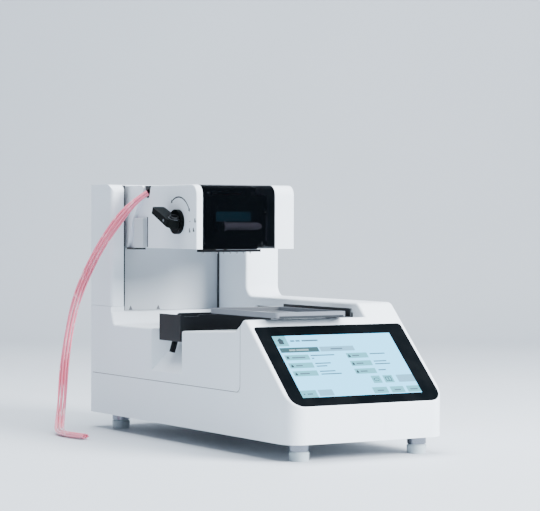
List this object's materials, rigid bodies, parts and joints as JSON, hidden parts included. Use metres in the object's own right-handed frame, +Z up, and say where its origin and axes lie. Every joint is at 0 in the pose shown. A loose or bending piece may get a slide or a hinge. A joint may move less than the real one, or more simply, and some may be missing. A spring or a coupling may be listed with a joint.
{
  "type": "reagent dispenser",
  "caption": "Bench reagent dispenser: plate tray slides under a peristaltic head with nozzles, tube cassette, clamp lever, drain trough and sloped touch display.",
  "frame": {"origin": "middle of the instrument's footprint, on the bench plane", "axes": "+Z up, +Y from the display towards the rear, +X to the right as seen from the front"},
  "size_m": [0.2881, 0.466, 0.297],
  "materials": {
    "housing": "light satin white moulding",
    "housing_grey": "pale grey moulding",
    "sheet_metal": "plain zinc-coated sheet",
    "collar_metal": "dark turned metal",
    "pad_rubber": "milky soft pad",
    "screen_glass": "black glass face",
    "screen": "lit display panel",
    "circuit_board": "green board",
    "black_plastic": "black moulding",
    "bright_steel": "ground steel",
    "belt_rubber": "toothed belt, teeth left out",
    "alloy": "machined",
    "motor_black": "black with plain metal ends",
    "black_metal": "satin black coat",
    "tray_metal": "grey anodised",
    "trough_plastic": "black moulding",
    "black_rubber": "black",
    "smoked_door": "dark smoked clear plastic",
    "cassette_plastic": "dark moulding",
    "nozzle_plastic": "black moulded bar",
    "lever_plastic": "black moulding",
    "tube_pink": "clear tubing holding pink liquid",
    "roller_steel": "polished"
  },
  "bodies": {
    "base": {"base_housing": "housing", "deck_cover": "housing", "left_column_cover": "housing", "spine_housing": "housing_grey", "rear_cover": "housing_grey", "head_left_cover": "housing", "head_housing": "housing", "tube_cover": "housing", "tube_guide_block": "housing_grey", "head_floor": "sheet_metal", "base_plate": "sheet_metal", "foot_collars": "collar_metal", "foot_pads": "pad_rubber", "display_glass": "screen_glass", "display_module": "screen", "main_board": "circuit_board", "power_supply": "sheet_metal", "power_inlet": "black_plastic", "switch_frame": "black_plastic", "data_port": "black_plastic", "drive_frame": "sheet_metal", "linear_rail": "bright_steel", "drive_belt": "belt_rubber", "tray_motor": "motor_black", "tube_outlet": "black_plastic", "head_gasket": "black_rubber", "hinge_pins": "bright_steel", "tube_cassette": "cassette_plastic", "cassette_handle": "black_plastic", "nozzle_bar": "nozzle_plastic", "nozzles": "bright_steel", "bearing_plate_left": "alloy", "bearing_plate_right": "alloy", "head_bulkhead": "alloy", "guide_rods": "bright_steel", "rotor_bearings": "bright_steel", "pump_belt": "belt_rubber", "pump_motor": "motor_black", "pump_tubes": "tube_pink", "tube_bundle": "tube_pink"},
    "tray": {"tray_slider": "bright_steel", "carriage_bracket": "black_metal", "plate_tray": "tray_metal"},
    "front_pulley": {"front_pulley": "alloy"},
    "rear_pulley": {"rear_pulley": "alloy"},
    "trough": {"priming_trough": "trough_plastic"},
    "door": {"door": "smoked_door"},
    "rotor": {"rotor_shaft": "bright_steel", "rotor_flanges": "alloy", "rotor_pulley": "alloy"},
    "motor_pulley": {"motor_pulley": "alloy"},
    "lever": {"clamp_lever": "lever_plastic"},
    "platen": {"clamp_platen": "cassette_plastic"},
    "rocker": {"power_switch": "black_plastic"},
    "roller_1": {"roller_1": "roller_steel"},
    "roller_2": {"roller_2": "roller_steel"},
    "roller_3": {"roller_3": "roller_steel"},
    "roller_4": {"roller_4": "roller_steel"},
    "roller_5": {"roller_5": "roller_steel"},
    "roller_6": {"roller_6": "roller_steel"}
  },
  "joints": [
    {"name": "tray_slide", "type": "slide", "parent": "base", "child": "tray", "axis": [0, 1, 0], "range_m": [0, 0.162]},
    {"name": "front_pulley_spin", "type": "hinge", "parent": "base", "child": "front_pulley", "pos_m": [0.091, -0.125, 0.1375], "axis": [1, 0, 0], "continuous": true},
    {"name": "rear_pulley_spin", "type": "hinge", "parent": "base", "child": "rear_pulley", "pos_m": [0.091, 0.119, 0.1375], "axis": [1, 0, 0], "continuous": true},
    {"name": "trough_slide", "type": "slide", "parent": "base", "child": "trough", "axis": [-1, 0, 0], "range_m": [0, 0.12]},
    {"name": "door_hinge", "type": "hinge", "parent": "base", "child": "door", "pos_m": [-0.0205, 0.055, 0.2918], "axis": [-1, 0, 0], "range_deg": [0, 100]},
    {"name": "rotor_spin", "type": "hinge", "parent": "base", "child": "rotor", "pos_m": [-0.0205, 0.073, 0.257], "axis": [1, 0, 0], "continuous": true},
    {"name": "motor_pulley_spin", "type": "hinge", "parent": "base", "child": "motor_pulley", "pos_m": [0.0405, 0.143, 0.257], "axis": [1, 0, 0], "continuous": true},
    {"name": "lever_hinge", "type": "hinge", "parent": "base", "child": "lever", "pos_m": [-0.0775, 0.05, 0.2524], "axis": [1, 0, 0], "range_deg": [0, 110]},
    {"name": "platen_slide", "type": "slide", "parent": "base", "child": "platen", "axis": [0, -1, 0], "range_m": [0, 0.0033]},
    {"name": "rocker_hinge", "type": "hinge", "parent": "base", "child": "rocker", "pos_m": [0.0305, 0.227, 0.043], "axis": [0, 0, 1], "range_deg": [0, 24]},
    {"name": "roller_1_spin", "type": "hinge", "parent": "rotor", "child": "roller_1", "pos_m": [-0.0205, 0.09032, 0.267], "axis": [1, 0, 0], "continuous": true},
    {"name": "roller_2_spin", "type": "hinge", "parent": "rotor", "child": "roller_2", "pos_m": [-0.0205, 0.073, 0.277], "axis": [1, 0, 0], "continuous": true},
    {"name": "roller_3_spin", "type": "hinge", "parent": "rotor", "child": "roller_3", "pos_m": [-0.0205, 0.05568, 0.267], "axis": [1, 0, 0], "continuous": true},
    {"name": "roller_4_spin", "type": "hinge", "parent": "rotor", "child": "roller_4", "pos_m": [-0.0205, 0.05568, 0.247], "axis": [1, 0, 0], "continuous": true},
    {"name": "roller_5_spin", "type": "hinge", "parent": "rotor", "child": "roller_5", "pos_m": [-0.0205, 0.073, 0.237], "axis": [1, 0, 0], "continuous": true},
    {"name": "roller_6_spin", "type": "hinge", "parent": "rotor", "child": "roller_6", "pos_m": [-0.0205, 0.09032, 0.247], "axis": [1, 0, 0], "continuous": true}
  ],
  "couplings": [
    {"joint": "front_pulley_spin", "follows": "tray_slide", "rad_per_m": -121.95},
    {"joint": "rear_pulley_spin", "follows": "tray_slide", "rad_per_m": -121.95},
    {"joint": "motor_pulley_spin", "follows": "rotor_spin", "ratio": 2},
    {"joint": "platen_slide", "follows": "lever_hinge", "m_per_rad": 0.0017189},
    {"joint": "roller_1_spin", "follows": "rotor_spin", "ratio": -5},
    {"joint": "roller_2_spin", "follows": "rotor_spin", "ratio": -5},
    {"joint": "roller_3_spin", "follows": "rotor_spin", "ratio": -5},
    {"joint": "roller_4_spin", "follows": "rotor_spin", "ratio": -5},
    {"joint": "roller_5_spin", "follows": "rotor_spin", "ratio": -5},
    {"joint": "roller_6_spin", "follows": "rotor_spin", "ratio": -5}
  ]
}
